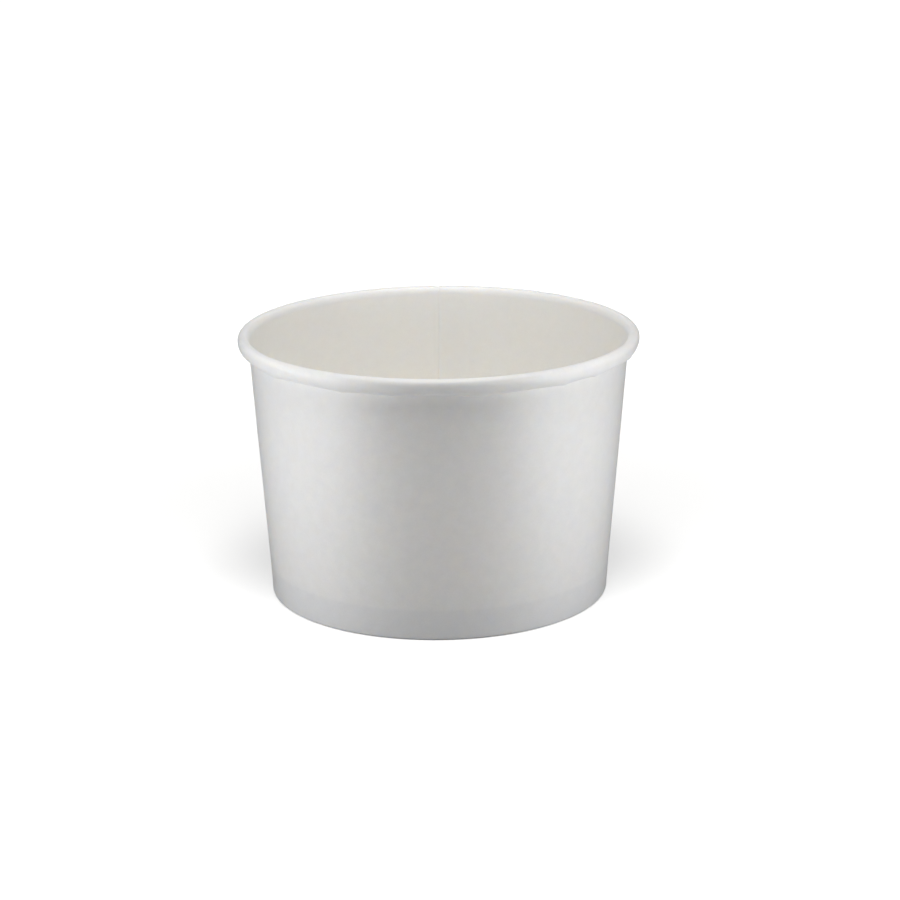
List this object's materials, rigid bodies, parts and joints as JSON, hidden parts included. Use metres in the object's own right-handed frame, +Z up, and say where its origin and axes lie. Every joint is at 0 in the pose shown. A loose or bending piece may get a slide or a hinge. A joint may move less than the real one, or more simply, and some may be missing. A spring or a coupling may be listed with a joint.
{
  "type": "paper sundae cup",
  "caption": "Plain white paper dessert cup: a tapered, lap-seamed board wall with a hollow rolled rim and a turned-in foot that holds a recessed flat bottom.",
  "frame": {"origin": "centre of the foot, on the surface that the cup stands on", "axes": "+Z up along the cup's axis, +Y towards the lap seam, +X to the right when the seam is at the back"},
  "size_m": [0.0921, 0.0923, 0.0613],
  "materials": {
    "wall_board": "satin",
    "bottom_board": "satin"
  },
  "bodies": {
    "root": {"side_wall": "wall_board", "bottom_disc": "bottom_board"}
  },
  "joints": []
}
